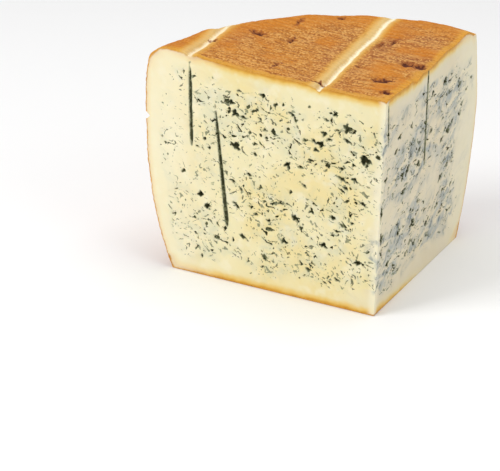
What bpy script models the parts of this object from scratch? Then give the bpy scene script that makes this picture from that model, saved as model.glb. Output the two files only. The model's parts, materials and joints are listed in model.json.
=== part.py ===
"""A quarter of a pierced blue cheese wheel, standing on its flat base.

Metres, +Z up. The long cut face looks along -Y and the second one along +X. They meet in an
upright corner at +X, -Y, and the rind runs round the back from one to the other.
"""

import math

import bmesh
import bpy
from mathutils import Euler, Matrix, Vector

NODE = "cheese_wedge"

# The wheel that the quarter was cut from.
WHEEL_RADIUS = 0.1485  # where the side stands out most
BASE_RADIUS = 0.130  # the side leans in as it goes down
BASE_CURVE = 2.2
SHOULDER_START_RADIUS = 0.146  # the side, where the top edge starts to round over
SHOULDER_RADIUS = 0.0105
HEIGHT = 0.128  # at the corner, the middle of the wheel
RIM_LIFT = 0.0065  # the rim stands this much higher than the middle
BULGE_HEIGHT_SHARE = 0.70
SECTOR = math.radians(89.0)

# The quarter is uneven: below the rim, the side stands out further where the long cut face ends
# and less where the second one ends, and there the top sinks a little towards the rim.
END_SWELL = 0.002
END_SLUMP = 0.005
SLUMP_HEIGHT = 0.126
SLUMP_REACH = 0.046
TOP_DROOP = 0.0045
DROOP_WIDTH = 0.011

# Furrows that the maturing rack pressed into the top, counted from the second cut face.
RACK_SPACING = 0.0405
FURROW_DEPTHS = (0.0004, 0.0022, 0.0003, 0.0015)  # at the long cut face
FURROW_FAR_SHARE = 0.3  # of their depth, from this far off the long cut face:
FURROW_FADE = 0.110
FURROW_HALF_WIDTH = 0.0034
FURROW_LEAN = math.radians(4.0)  # they open out from the second cut face by this much

# A nick in the rind where the long cut face ends, and a dent in the top of the second face.
NICK_HEIGHT = 0.0920
NICK_HALF_HEIGHT = 0.0026
NICK_DEPTH = 0.0024
NICK_SPREAD = math.radians(11.0)
DENT_PLACE = 0.045
DENT_DEPTH = 0.0022
DENT_REACH = 0.009

SIDE_WAVE = 0.0007
TOP_WAVE = 0.0006
EDGE_ROUNDING = 0.0007

COLUMNS = 27
ROWS = 19
SIDE_LEVELS = 13
SHOULDER_STEPS = 5

NEEDLE_SIDES = 10
# Piercing channels that the cuts laid open: face, then (distance from the corner, height) of
# the upper and the lower end, and how wide the channel gapes at each end, as a radius.
CHANNELS = (
    ("long", (0.1212, 0.1290), (0.1189, 0.0794), 0.0010, 0.0009),
    ("long", (0.1044, 0.1065), (0.0945, 0.0345), 0.0007, 0.0013),
    ("second", (0.0617, 0.1340), (0.0646, 0.0698), 0.0009, 0.0011),
)

# The larger openings in the paste: distance from the corner, height, half width, half height,
# lean in degrees, which sinks away from the corner. The small ones belong to the finish.
LONG_FACE_OPENINGS = (
    (0.0295, 0.1150, 0.0017, 0.0016, 30),
    (0.0560, 0.1100, 0.0026, 0.0011, -25),
    (0.0665, 0.1135, 0.0015, 0.0014, 0),
    (0.0745, 0.1175, 0.0025, 0.0014, -10),
    (0.0952, 0.1110, 0.0026, 0.0013, 0),
    (0.0915, 0.1040, 0.0029, 0.0022, -35),
    (0.0220, 0.1080, 0.0029, 0.0030, 0),
    (0.0220, 0.1008, 0.0036, 0.0011, -25),
    (0.0360, 0.1028, 0.0020, 0.0018, 0),
    (0.0380, 0.0960, 0.0032, 0.0019, 0),
    (0.0475, 0.0965, 0.0022, 0.0011, 10),
    (0.0720, 0.0975, 0.0022, 0.0011, 5),
    (0.0105, 0.0920, 0.0042, 0.0029, -15),
    (0.0785, 0.0885, 0.0018, 0.0011, 0),
    (0.0780, 0.0820, 0.0013, 0.0014, 0),
    (0.0905, 0.0845, 0.0036, 0.0025, -30),
    (0.1105, 0.0850, 0.0013, 0.0012, 0),
    (0.0245, 0.0842, 0.0017, 0.0011, 15),
    (0.0495, 0.0800, 0.0026, 0.0011, 0),
    (0.0575, 0.0795, 0.0022, 0.0025, 20),
    (0.0235, 0.0780, 0.0044, 0.0011, -27),
    (0.0470, 0.0695, 0.0030, 0.0011, -35),
    (0.0105, 0.0660, 0.0038, 0.0011, -28),
    (0.0200, 0.0655, 0.0018, 0.0011, 30),
    (0.0550, 0.0640, 0.0013, 0.0017, 0),
    (0.1240, 0.0625, 0.0020, 0.0012, 0),
    (0.0615, 0.0555, 0.0040, 0.0011, 5),
    (0.0280, 0.0540, 0.0022, 0.0014, -30),
    (0.1125, 0.0505, 0.0022, 0.0023, 0),
    (0.0515, 0.0485, 0.0034, 0.0016, -35),
    (0.0890, 0.0485, 0.0040, 0.0011, -40),
    (0.1080, 0.0440, 0.0024, 0.0019, 0),
    (0.0330, 0.0360, 0.0030, 0.0015, -25),
    (0.0580, 0.0330, 0.0026, 0.0018, -15),
    (0.0120, 0.0300, 0.0024, 0.0018, 10),
    (0.0840, 0.0300, 0.0032, 0.0013, -30),
    (0.1010, 0.0260, 0.0022, 0.0012, -30),
    (0.0700, 0.0210, 0.0024, 0.0011, -20),
    (0.0420, 0.0190, 0.0020, 0.0014, -10),
)
SECOND_FACE_OPENINGS = (
    (0.0905, 0.1135, 0.0036, 0.0026, -20),
    (0.1155, 0.1040, 0.0030, 0.0018, -30),
    (0.0235, 0.1005, 0.0034, 0.0013, -20),
    (0.0725, 0.0885, 0.0030, 0.0015, -25),
    (0.0060, 0.0805, 0.0030, 0.0014, -10),
    (0.1010, 0.0805, 0.0045, 0.0026, -25),
    (0.0385, 0.0760, 0.0042, 0.0019, -25),
    (0.0550, 0.0740, 0.0030, 0.0018, -25),
    (0.0345, 0.0640, 0.0036, 0.0020, -20),
    (0.1030, 0.0585, 0.0034, 0.0014, -30),
    (0.0925, 0.0520, 0.0040, 0.0018, -30),
    (0.0300, 0.0400, 0.0032, 0.0016, -20),
    (0.0515, 0.0385, 0.0040, 0.0024, -25),
    (0.0745, 0.0300, 0.0036, 0.0018, -25),
    (0.0160, 0.0260, 0.0026, 0.0018, -15),
    (0.0440, 0.0220, 0.0030, 0.0014, -25),
)
OPENING_DEPTH_SHARE = 0.85  # of the half width

PASTE_COLOUR = (0.80, 0.72, 0.47, 1.0)
PASTE_ROUGHNESS = 0.5

LONG_WAY = Vector((-1.0, 0.0, 0.0))
SECOND_WAY = Vector((-math.cos(SECTOR), math.sin(SECTOR), 0.0))
RIM_HEIGHT = HEIGHT + RIM_LIFT
TOP_RADIUS = SHOULDER_START_RADIUS - SHOULDER_RADIUS


def clear_scene():
    for thing in list(bpy.data.objects):
        bpy.data.objects.remove(thing, do_unlink=True)


def bell(distance, reach):
    """1 in the middle, falling smoothly to 0 at reach."""
    if abs(distance) >= reach:
        return 0.0
    return 0.5 + 0.5 * math.cos(math.pi * distance / reach)


def side_radius(height):
    """Radius of the side at a height below the shoulder."""
    bulge = BULGE_HEIGHT_SHARE * RIM_HEIGHT
    if height < bulge:
        return WHEEL_RADIUS - (WHEEL_RADIUS - BASE_RADIUS) * (1 - height / bulge) ** BASE_CURVE
    share = (height - bulge) / (RIM_HEIGHT - SHOULDER_RADIUS - bulge)
    return WHEEL_RADIUS - (WHEEL_RADIUS - SHOULDER_START_RADIUS) * share**2


def end_slump(angle, height):
    """How much less the side stands out at an angle from the long face and at a height."""
    uneven = (END_SWELL + END_SLUMP) * (angle / SECTOR) ** 2 - END_SWELL
    over = max(height - (RIM_HEIGHT - SHOULDER_RADIUS), 0.0) / SHOULDER_RADIUS
    return uneven * bell(height - SLUMP_HEIGHT, SLUMP_REACH) * (1 - over**4)


def wheel_profile():
    """(radius, height) from the base up the side and over the shoulder."""
    side_top = RIM_HEIGHT - SHOULDER_RADIUS
    heights = {side_top * level / SIDE_LEVELS for level in range(SIDE_LEVELS + 1)}
    heights |= {NICK_HEIGHT + step * NICK_HALF_HEIGHT for step in (-1, 0, 1)}
    profile = [(side_radius(height), height) for height in sorted(heights)]
    for step in range(1, SHOULDER_STEPS + 1):
        turn = math.pi / 2 * step / SHOULDER_STEPS
        radius = TOP_RADIUS + SHOULDER_RADIUS * math.cos(turn)
        profile.append((radius, side_top + SHOULDER_RADIUS * math.sin(turn)))
    return profile


def column_starts():
    """Distances from the corner, along the long face, at which the top's columns start."""
    starts = [TOP_RADIUS * math.cos(math.pi / 2 * step / COLUMNS) for step in range(COLUMNS)]
    furrow_steps = (-1.0, -0.5, 0.0, 0.5, 1.0)
    for number in range(1, len(FURROW_DEPTHS)):
        middle = number * RACK_SPACING
        starts = [at for at in starts if abs(at - middle) > 1.4 * FURROW_HALF_WIDTH]
        starts += [middle + step * FURROW_HALF_WIDTH for step in furrow_steps]
    starts.append(0.0)
    return sorted(starts, reverse=True)


def column_direction(start):
    """Columns leave the second face's direction for that of the furrows."""
    lean = FURROW_LEAN * min(start / RACK_SPACING, 1.0)
    return Vector((-math.cos(SECTOR - lean), math.sin(SECTOR - lean), 0.0))


def column_end(start, direction):
    """Where a column meets the circle of the top's edge."""
    origin = start * LONG_WAY
    along = origin.dot(direction)
    reach = -along + math.sqrt(max(along**2 + TOP_RADIUS**2 - origin.length_squared, 0.0))
    return origin + reach * direction


def top_height(place, start):
    """Height of the top at a place, measured from the corner; start names its column."""
    height = HEIGHT + RIM_LIFT * (place.length / TOP_RADIUS) ** 2
    fading = FURROW_FAR_SHARE + (1 - FURROW_FAR_SHARE) * bell(place.y, FURROW_FADE)
    for number, depth in enumerate(FURROW_DEPTHS):
        height -= fading * depth * bell(start - number * RACK_SPACING, FURROW_HALF_WIDTH)
    turned = (math.atan2(place.y, -place.x) / SECTOR) ** 4
    height -= TOP_DROOP * turned * bell(TOP_RADIUS - place.length, DROOP_WIDTH)
    dent = (place - DENT_PLACE * SECOND_WAY).length
    height -= DENT_DEPTH * bell(dent, DENT_REACH)
    broad = math.sin(61 * place.x + 1.0) * math.sin(83 * place.y)
    narrow = math.sin(95 * place.x + 170 * place.y)
    return height + TOP_WAVE * (broad + 0.5 * narrow)


def top_grid():
    """Columns of places on the top, each from the long face to the rim, with their heights."""
    columns = []
    for start in column_starts():
        near = start * LONG_WAY
        far = column_end(start, column_direction(start))
        if (far - near).length < EDGE_ROUNDING:
            steps = 0
        else:
            steps = ROWS
        places = [near.lerp(far, row / ROWS) for row in range(steps + 1)]
        columns.append([place + Vector((0, 0, top_height(place, start))) for place in places])
    return columns


def lowered(top_place, radius, height):
    """The point under a place of the top's outline, at one level of the wheel's profile."""
    spread = radius / TOP_RADIUS
    sink = height / RIM_HEIGHT
    return Vector((top_place.x * spread, top_place.y * spread, top_place.z * sink))


def side_point(top_place, radius, height):
    """A point of the rind, which waves a little and has the nick at the long face's end."""
    angle = math.atan2(top_place.y, -top_place.x)
    inner = bell(angle - SECTOR / 2, SECTOR / 2)
    wave = math.sin(9 * angle + 40 * height) + 0.6 * math.sin(17 * angle - 75 * height)
    nick = bell(height - NICK_HEIGHT, NICK_HALF_HEIGHT) * bell(angle, NICK_SPREAD)
    radius += SIDE_WAVE * wave * inner - NICK_DEPTH * nick - end_slump(angle, height)
    return lowered(top_place, radius, height)


def wedge_mesh():
    """The closed quarter wheel, before its openings are cut, with its corner at the origin."""
    mesh = bmesh.new()
    profile = wheel_profile()[:-1]
    columns = top_grid()
    top = [[mesh.verts.new(place) for place in column] for column in columns]
    side = []
    for column in columns:
        points = [side_point(column[-1], radius, height) for radius, height in profile]
        side.append([mesh.verts.new(point) for point in points])

    for left, right in zip(top, top[1:]):
        left = left if len(left) > 1 else left * (ROWS + 1)
        for row in range(ROWS):
            ring = (left[row], right[row], right[row + 1], left[row + 1])
            mesh.faces.new(list(dict.fromkeys(ring)))
    side = [lower + [column[-1]] for lower, column in zip(side, top)]
    for left, right in zip(side, side[1:]):
        for level in range(len(left) - 1):
            mesh.faces.new([left[level], left[level + 1], right[level + 1], right[level]])

    corner_low = mesh.verts.new((0.0, 0.0, 0.0))
    corner_high = top[-1][0]
    long_top = [column[0] for column in top]
    long_base = [lowered(point, *profile[0]) for point in (c[0] for c in columns[1:-1])]
    long_base = [mesh.verts.new(point) for point in long_base]
    second_top = top[-1]
    base_arc = [column[0] for column in side]

    long_face = long_top[::-1] + side[0][-2::-1] + long_base + [corner_low]
    second_face = second_top[::-1] + [corner_low] + side[-1][:-1]
    base = base_arc + [corner_low] + long_base[::-1]
    for outline in (long_face, second_face, base):
        mesh.faces.new(outline)
    bmesh.ops.recalc_face_normals(mesh, faces=mesh.faces)

    rims = [long_top, side[0], second_top, side[-1], base_arc]
    rims += [[side[0][0]] + long_base + [corner_low], [corner_low, side[-1][0]], [corner_low, corner_high]]
    pairs = [pair for rim in rims for pair in zip(rim, rim[1:])]
    edges = [mesh.edges.get(pair) for pair in pairs]
    bmesh.ops.bevel(
        mesh,
        geom=[edge for edge in edges if edge],
        offset=EDGE_ROUNDING,
        segments=1,
        affect="EDGES",
        clamp_overlap=True,
    )
    return mesh


def face_point(face, along, height):
    way = LONG_WAY if face == "long" else SECOND_WAY
    return along * way + Vector((0, 0, height))


def face_turn(face):
    """Turns local X along a face, away from the corner, and local Y out of the wedge."""
    return Euler((0, 0, math.pi if face == "long" else math.pi - SECTOR)).to_matrix().to_4x4()


def add_opening(mesh, face, along, height, half_width, half_height, lean):
    """An angular pocket: a ball squeezed to the opening's size, with pulled-out corners."""
    ball = bmesh.ops.create_icosphere(mesh, subdivisions=2, radius=1.0)["verts"]
    seed = 1000 * along + 77 * height
    for vert in ball:
        around = math.atan2(vert.co.z, vert.co.x)
        flat = 1 - abs(vert.co.y)
        corners = 0.22 * math.sin(3 * around + seed) + 0.16 * math.sin(5 * around + 2.3 * seed)
        vert.co *= 1 + flat * corners
    size = Matrix.Diagonal((half_width, OPENING_DEPTH_SHARE * half_width, half_height, 1.0))
    lean_turn = Matrix.Rotation(math.radians(lean), 4, "Y")
    place = Matrix.Translation(face_point(face, along, height))
    bmesh.ops.transform(mesh, matrix=place @ face_turn(face) @ lean_turn @ size, verts=ball)


def add_channel(mesh, face, upper, lower, upper_radius, lower_radius):
    """A round channel whose axis lies in the face, so that half of it is open."""
    start = face_point(face, *upper)
    end = face_point(face, *lower)
    run = end - start
    turn = run.to_track_quat("Z", "X").to_matrix().to_4x4()
    bmesh.ops.create_cone(
        mesh,
        cap_ends=True,
        segments=NEEDLE_SIDES,
        radius1=upper_radius,
        radius2=lower_radius,
        depth=run.length,
        matrix=Matrix.Translation((start + end) / 2) @ turn,
    )


def add_cutter(middle):
    """All openings and channels as one guide object, which the Boolean takes away."""
    mesh = bmesh.new()
    for face, openings in (("long", LONG_FACE_OPENINGS), ("second", SECOND_FACE_OPENINGS)):
        for opening in openings:
            add_opening(mesh, face, *opening)
    for channel in CHANNELS:
        add_channel(mesh, *channel)
    bmesh.ops.recalc_face_normals(mesh, faces=mesh.faces)
    bmesh.ops.translate(mesh, vec=-middle, verts=mesh.verts)
    cutter = add_object("openings_cutter", mesh)
    cutter.hide_render = True
    cutter.display_type = "WIRE"
    return cutter


def box_middle(mesh):
    """The level middle of a mesh's box."""
    xs = [vert.co.x for vert in mesh.verts]
    ys = [vert.co.y for vert in mesh.verts]
    return Vector(((min(xs) + max(xs)) / 2, (min(ys) + max(ys)) / 2, 0.0))


def add_object(name, mesh):
    data = bpy.data.meshes.new(name)
    mesh.to_mesh(data)
    mesh.free()
    made = bpy.data.objects.new(name, data)
    bpy.context.scene.collection.objects.link(made)
    return made


def paste_material():
    material = bpy.data.materials.new("cheese")
    material.use_nodes = True
    shader = material.node_tree.nodes["Principled BSDF"]
    shader.inputs["Base Color"].default_value = PASTE_COLOUR
    shader.inputs["Roughness"].default_value = PASTE_ROUGHNESS
    shader.inputs["Metallic"].default_value = 0.0
    material.diffuse_color = PASTE_COLOUR
    return material


def main():
    clear_scene()
    mesh = wedge_mesh()
    middle = box_middle(mesh)
    bmesh.ops.translate(mesh, vec=-middle, verts=mesh.verts)
    wedge = add_object(NODE, mesh)
    wedge.data.materials.append(paste_material())
    cut = wedge.modifiers.new("openings", "BOOLEAN")
    cut.operation = "DIFFERENCE"
    cut.solver = "EXACT"
    cut.object = add_cutter(middle)


main()
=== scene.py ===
"""Looks of the blue cheese wedge: veined paste on two cut faces, browned rind on top and behind.

The wedge is one closed mesh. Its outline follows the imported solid, Geometry Nodes carve the
openings and raise the rind, and one material colours it by depth under the rind. Metres, +Z up:
the long cut face looks along -Y, the second one along +X, and they meet at an upright corner.
"""

import json
import logging
import math
from dataclasses import dataclass, field
from enum import Enum

import bpy
import numpy as np
from mathutils import Matrix, Vector

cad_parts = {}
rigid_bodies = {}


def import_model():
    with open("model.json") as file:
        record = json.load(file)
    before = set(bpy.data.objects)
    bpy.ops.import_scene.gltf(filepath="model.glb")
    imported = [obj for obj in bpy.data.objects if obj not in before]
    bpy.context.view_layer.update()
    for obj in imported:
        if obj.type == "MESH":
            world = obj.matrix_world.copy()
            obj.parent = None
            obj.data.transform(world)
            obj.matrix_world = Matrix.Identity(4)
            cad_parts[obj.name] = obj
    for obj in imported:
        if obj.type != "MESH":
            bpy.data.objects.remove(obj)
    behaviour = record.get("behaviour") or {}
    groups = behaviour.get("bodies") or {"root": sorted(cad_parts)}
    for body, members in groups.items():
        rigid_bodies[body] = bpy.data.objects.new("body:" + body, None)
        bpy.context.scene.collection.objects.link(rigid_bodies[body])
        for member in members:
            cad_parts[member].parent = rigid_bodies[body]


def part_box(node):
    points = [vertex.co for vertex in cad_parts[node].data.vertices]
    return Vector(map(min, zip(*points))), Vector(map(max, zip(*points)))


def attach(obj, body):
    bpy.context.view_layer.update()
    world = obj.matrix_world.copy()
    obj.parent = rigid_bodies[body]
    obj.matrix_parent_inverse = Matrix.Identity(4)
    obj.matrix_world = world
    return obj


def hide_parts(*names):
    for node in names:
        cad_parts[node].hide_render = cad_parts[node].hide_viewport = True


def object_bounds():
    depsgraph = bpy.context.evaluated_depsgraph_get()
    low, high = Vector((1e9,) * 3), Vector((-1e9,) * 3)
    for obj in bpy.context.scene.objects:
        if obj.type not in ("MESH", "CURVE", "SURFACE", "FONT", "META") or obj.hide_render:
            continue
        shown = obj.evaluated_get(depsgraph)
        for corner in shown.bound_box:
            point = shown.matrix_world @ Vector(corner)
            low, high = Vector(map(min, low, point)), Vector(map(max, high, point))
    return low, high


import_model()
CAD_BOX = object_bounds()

LOG = logging.getLogger("cheese_wedge")
MM = 0.001
NODE = "cheese_wedge"
LONG_END_GAIN = 0.8 * MM  # the long face reaches this much further than the wheel's radius

Colour = tuple[float, float, float, float]
Array = np.ndarray


def paint(red: int, green: int, blue: int) -> Colour:
    """Turns a colour given on a 0-255 scale into the linear values that shaders take.

    Args:
        red: Red, 0 to 255.
        green: Green, 0 to 255.
        blue: Blue, 0 to 255.

    Returns:
        Linear red, green and blue, and full opacity.
    """
    parts = [value / 255 for value in (red, green, blue)]
    linear = [p / 12.92 if p <= 0.04045 else ((p + 0.055) / 1.055) ** 2.4 for p in parts]
    return (linear[0], linear[1], linear[2], 1.0)


def smooth_step(value: Array, low: float, high: float) -> Array:
    """Rises smoothly from 0 at low to 1 at high."""
    share = np.clip((value - low) / (high - low), 0.0, 1.0)
    return share * share * (3.0 - 2.0 * share)


def bell(distance: Array, reach: float) -> Array:
    """1 in the middle, falling smoothly to 0 at reach."""
    return np.where(np.abs(distance) < reach, 0.5 + 0.5 * np.cos(np.pi * distance / reach), 0.0)


class Face(Enum):
    """The two cut faces of the wedge."""

    LONG = "long"
    SECOND = "second"


# ---------------------------------------------------------------------------------------------
# The wheel and what was done to it
# ---------------------------------------------------------------------------------------------


@dataclass(frozen=True)
class Wheel:
    """The wheel that the quarter was cut from. Places are measured from the upright corner."""

    radius: float
    height: float
    base_radius: float = 0.130
    base_curve: float = 2.2
    shoulder_start_radius: float = 0.146
    shoulder_radius: float = 0.0105
    rim_lift: float = 0.0065
    bulge_share: float = 0.70
    sector: float = math.radians(89.0)
    end_swell: float = 2 * MM
    end_slump: float = 5 * MM
    slump_height: float = 0.126
    slump_reach: float = 0.046
    top_droop: float = 4.5 * MM
    droop_width: float = 11 * MM
    side_wave: float = 0.7 * MM
    top_wave: float = 0.6 * MM

    @property
    def rim_height(self) -> float:
        """Height of the rim of the top."""
        return self.height + self.rim_lift

    @property
    def top_radius(self) -> float:
        """Radius at which the top starts to round over."""
        return self.shoulder_start_radius - self.shoulder_radius

    def way(self, face: Face) -> Array:
        """The level direction that runs from the corner along a cut face."""
        if face is Face.LONG:
            return np.array((-1.0, 0.0, 0.0))
        return np.array((-math.cos(self.sector), math.sin(self.sector), 0.0))

    def outward(self, face: Face) -> Array:
        """The direction that a cut face looks in."""
        if face is Face.LONG:
            return np.array((0.0, -1.0, 0.0))
        return np.array((math.sin(self.sector), math.cos(self.sector), 0.0))

    def radius_at(self, height: Array) -> Array:
        """Radius of the side and the shoulder at a height.

        Args:
            height: Heights above the base, at most the rim's height.

        Returns:
            The radius at each height.
        """
        bulge = self.bulge_share * self.rim_height
        shoulder = self.rim_height - self.shoulder_radius
        below = np.clip(1 - height / bulge, 0, 1) ** self.base_curve
        above = np.clip((height - bulge) / (shoulder - bulge), 0, 1) ** 2
        radius = self.radius - (self.radius - self.base_radius) * below
        radius = radius - (self.radius - self.shoulder_start_radius) * above
        over = np.clip((height - shoulder) / self.shoulder_radius, 0, 1)
        return radius - self.shoulder_radius * (1 - np.sqrt(1 - over**2))

    def slump(self, angle: Array, height: Array) -> Array:
        """How much less the side stands out at an angle from the long face and at a height."""
        uneven = (self.end_swell + self.end_slump) * (angle / self.sector) ** 2 - self.end_swell
        over = np.clip((height - self.rim_height) / self.shoulder_radius + 1, 0, 1)
        return uneven * bell(height - self.slump_height, self.slump_reach) * (1 - over**4)

    def droop(self, x: Array, y: Array) -> Array:
        """How far the top sinks towards the rim at places measured from the corner."""
        turned = (np.arctan2(y, -x) / self.sector) ** 4
        return self.top_droop * turned * bell(self.top_radius - np.hypot(x, y), self.droop_width)

    def levels(self, count: int) -> Array:
        """Heights from the base to the rim, evenly spaced along the side's outline.

        Args:
            count: How many steps there are.

        Returns:
            count + 1 heights.
        """
        turn = np.linspace(0, math.pi / 2, 200)
        shoulder = self.rim_height - self.shoulder_radius
        fine = np.concatenate([
            np.linspace(0, shoulder, 800)[:-1],
            shoulder + self.shoulder_radius * np.sin(turn),
        ])
        steps = np.hypot(np.diff(fine), np.diff(self.radius_at(fine)))
        along = np.concatenate([[0.0], np.cumsum(steps)])
        return np.interp(np.linspace(0, along[-1], count + 1), along, fine)


@dataclass(frozen=True)
class RackFurrows:
    """Straight furrows that the maturing rack pressed into the top, parallel to the second face."""

    spacing: float = 0.0405
    depths: tuple[float, ...] = (0.4 * MM, 2.2 * MM, 0.3 * MM, 1.5 * MM)
    half_width: float = 3.4 * MM
    far_share: float = 0.3
    fade: float = 0.110
    lean: float = math.radians(4.0)

    def distance(self, number: int, x: Array, y: Array, wheel: Wheel) -> Array:
        """Level distance from one furrow's middle line.

        Args:
            number: The furrow, counted from the second cut face.
            x: Places along X, from the corner.
            y: Places along Y, from the corner.
            wheel: The wheel that carries the furrows.

        Returns:
            Signed distances in metres.
        """
        angle = wheel.sector - (self.lean if number else 0.0)
        start = -number * self.spacing
        return (x - start) * math.sin(angle) + y * math.cos(angle)

    def sink(self, x: Array, y: Array, wheel: Wheel) -> Array:
        """How far the furrows lower the top at each place."""
        total = np.zeros_like(x)
        for number, depth in enumerate(self.depths):
            total += depth * bell(self.distance(number, x, y, wheel), self.half_width)
        return total * (self.far_share + (1 - self.far_share) * bell(y, self.fade))


@dataclass(frozen=True)
class Dent:
    """A place where the top's edge over the second face has crumbled a little."""

    place: float = 0.045
    depth: float = 2.2 * MM
    reach: float = 9.0 * MM


@dataclass(frozen=True)
class Nick:
    """A small nick in the rind, where the long cut face ends."""

    height: float = 0.0920
    half_height: float = 2.6 * MM
    depth: float = 2.4 * MM
    spread: float = math.radians(11.0)


@dataclass(frozen=True)
class Opening:
    """One of the larger hollows in the paste, which the cut laid open."""

    face: Face
    along: float
    height: float
    half_width: float
    half_height: float
    lean_degrees: float
    pointed: float = 0.95  # 2 would be an ellipse, 1 a diamond

    def inside(self, along: Array, height: Array) -> Array:
        """How far inside the opening's ragged outline each point of its face lies.

        Args:
            along: Distances from the corner.
            height: Heights above the base.

        Returns:
            Metres, positive inside.
        """
        lean = math.radians(self.lean_degrees)
        across = along - self.along + 0.30 * MM * np.sin(height / (0.55 * MM) + 300 * self.along)
        up = height - self.height + 0.25 * MM * np.sin(along / (0.48 * MM) + 500 * self.height)
        wide = (across * math.cos(lean) - up * math.sin(lean)) / self.half_width
        tall = (across * math.sin(lean) + up * math.cos(lean)) / self.half_height
        around = np.arctan2(tall, wide)
        seed = 1000 * self.along + 77 * self.height
        corners = 0.22 * np.sin(3 * around + seed) + 0.16 * np.sin(5 * around + 2.3 * seed)
        reach = (np.abs(wide) ** self.pointed + np.abs(tall) ** self.pointed) ** (1 / self.pointed)
        return (1 + corners - reach) * min(self.half_width, self.half_height)


@dataclass(frozen=True)
class Channel:
    """A piercing needle's channel, which a cut laid open along its length."""

    face: Face
    upper: tuple[float, float]
    lower: tuple[float, float]
    upper_radius: float
    lower_radius: float
    taper: float = 14 * MM
    lower_taper: float = 5 * MM
    blunt: float = 2 * MM  # how far short of a point each end stops

    def inside(self, along: Array, height: Array) -> Array:
        """How far inside the channel's outline each point of its face lies, in metres."""
        start, end = np.array(self.upper), np.array(self.lower)
        run = end - start
        share = ((along - start[0]) * run[0] + (height - start[1]) * run[1]) / (run @ run)
        share = np.clip(share, 0.0, 1.0)
        gap = np.hypot(along - start[0] - share * run[0], height - start[1] - share * run[1])
        length = math.hypot(*run)
        ends = smooth_step(share * length, -self.blunt, self.taper)
        ends = ends * smooth_step((1 - share) * length, -self.blunt, self.lower_taper)
        radius = self.upper_radius + (self.lower_radius - self.upper_radius) * share
        return radius * (0.25 + 0.75 * ends) - gap


# Distance from the corner, height, half width, half height in millimetres, and lean in degrees:
# a positive lean sinks away from the corner.
LONG_FACE_OPENINGS = (
    # by the corner
    (22, 108, 2.9, 3.0, 0), (27.5, 106, 3.2, 0.6, 5), (22, 101, 3.6, 1.0, -25),
    (29.5, 115, 1.7, 1.6, 30), (35, 111, 2.0, 0.7, -15), (10.5, 92, 4.2, 2.9, -15),
    (9.5, 89, 1.1, 1.5, 0), (17.5, 87.5, 1.2, 1.3, 0), (24.5, 84, 1.7, 1.1, 15),
    (23.5, 78, 4.4, 1.1, -27), (16, 79, 2.6, 1.1, -25), (21.5, 73, 2.8, 0.8, -25),
    (20, 65.5, 1.8, 1.1, 30), (10.5, 66, 3.8, 0.9, -28), (3, 95.5, 1.6, 0.9, 20),
    # the branching one
    (36, 102.5, 2.0, 1.9, 0), (38, 96, 3.2, 1.9, 0), (42, 97, 2.4, 0.9, -35),
    (33, 99.5, 2.6, 0.8, 20), (40.5, 92, 1.9, 1.4, 0), (47.5, 96.5, 2.2, 1.0, 10),
    # the middle
    (45.5, 116.5, 0.9, 1.0, 0), (56, 110, 2.6, 0.9, -25), (66.5, 113.5, 1.5, 1.4, 0),
    (57.5, 79.5, 2.2, 2.5, 20), (49.5, 80, 2.6, 0.8, 0), (47, 69.5, 3.0, 0.7, -35),
    (55, 64, 0.9, 1.7, 0), (61.5, 55.5, 4.0, 0.7, 5), (51.5, 48.5, 3.4, 1.6, -35),
    (47.5, 43.5, 1.8, 1.2, -20), (68, 43.5, 1.7, 1.1, -10),
    # beside the second channel
    (94.5, 110, 3.0, 1.5, 0), (74.5, 117.5, 2.5, 1.4, -10), (91.5, 104, 2.9, 2.2, -35),
    (86, 102.5, 3.0, 0.9, -5), (90.5, 84.5, 3.6, 2.5, -30), (78.5, 88, 1.8, 1.1, 0),
    (78, 82, 1.2, 1.4, 0), (72, 97.5, 2.2, 0.8, 5), (71.5, 93, 1.5, 0.8, -30), (82, 94, 1.0, 1.2, 0),
    (75.5, 103.5, 1.2, 0.9, 0), (78, 108.5, 0.8, 1.4, 0), (89.5, 117.5, 3.0, 0.6, -15),
    (94.5, 91.5, 1.2, 0.8, -30), (91.5, 63, 2.0, 1.0, -10), (86.5, 59, 2.5, 0.7, -45),
    (80.5, 57.5, 1.5, 0.8, 0), (81, 69, 2.4, 0.9, -10), (89, 48.5, 4.0, 0.8, -40),
    (79.5, 49.5, 2.0, 0.9, 0), (76, 45.5, 2.0, 0.8, -15), (71.5, 54.5, 1.2, 0.9, 0),
    # towards the rind
    (110.5, 85, 1.2, 1.2, 0), (107.5, 80, 1.0, 1.2, 0), (124, 62.5, 2.0, 1.2, 0),
    (112.5, 50.5, 2.2, 2.3, 0), (108, 44, 2.4, 1.9, 0), (116, 111.5, 2.0, 0.5, -10),
    # near the base
    (28, 54, 2.2, 1.4, -30), (16.5, 53, 1.6, 1.0, -30), (22.5, 50.5, 1.5, 0.8, -30),
    (33, 36, 3.0, 1.5, -25), (58, 33, 2.6, 1.8, -15), (84, 30, 3.2, 1.3, -30), (12, 30, 2.4, 1.8, 10),
    (70, 21, 2.4, 1.0, -20), (42, 19, 2.0, 1.4, -10), (101, 26, 2.2, 1.2, -30),
    (24, 17, 2.6, 0.8, -25),
)
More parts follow.
